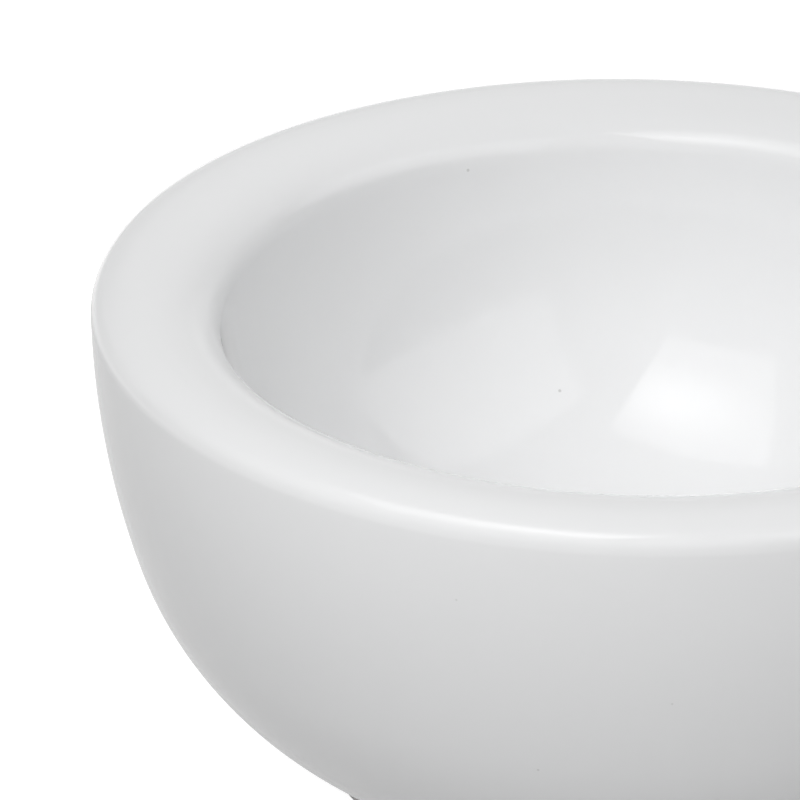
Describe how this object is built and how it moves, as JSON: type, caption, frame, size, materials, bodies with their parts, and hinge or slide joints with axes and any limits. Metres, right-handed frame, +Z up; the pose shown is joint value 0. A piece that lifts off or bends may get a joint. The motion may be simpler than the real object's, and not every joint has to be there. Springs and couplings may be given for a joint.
{
  "type": "mortar and pestle",
  "caption": "White glazed porcelain mortar with a thick rounded rim, a round bowl and a flat foot, and its loose pestle lying beside it, for grinding by hand.",
  "frame": {"origin": "middle of the mortar's flat foot, on the table", "axes": "+Z up along the mortar's axis, +X from the mortar towards the pestle, -Y towards the picture's camera"},
  "size_m": [0.19, 0.1472, 0.06],
  "materials": {
    "mortar_porcelain": "clear gloss glaze over white porcelain, with a matt unglazed foot",
    "pestle_porcelain": "clear gloss glaze on the handle, with a matt unglazed grinding head"
  },
  "bodies": {
    "mortar": {"mortar": "mortar_porcelain"},
    "pestle": {"pestle": "pestle_porcelain"}
  },
  "joints": [
    {"name": "pestle_lift", "type": "slide", "parent": "mortar", "child": "pestle", "axis": [0, 0, 1], "range_m": [0, 0.12]}
  ]
}
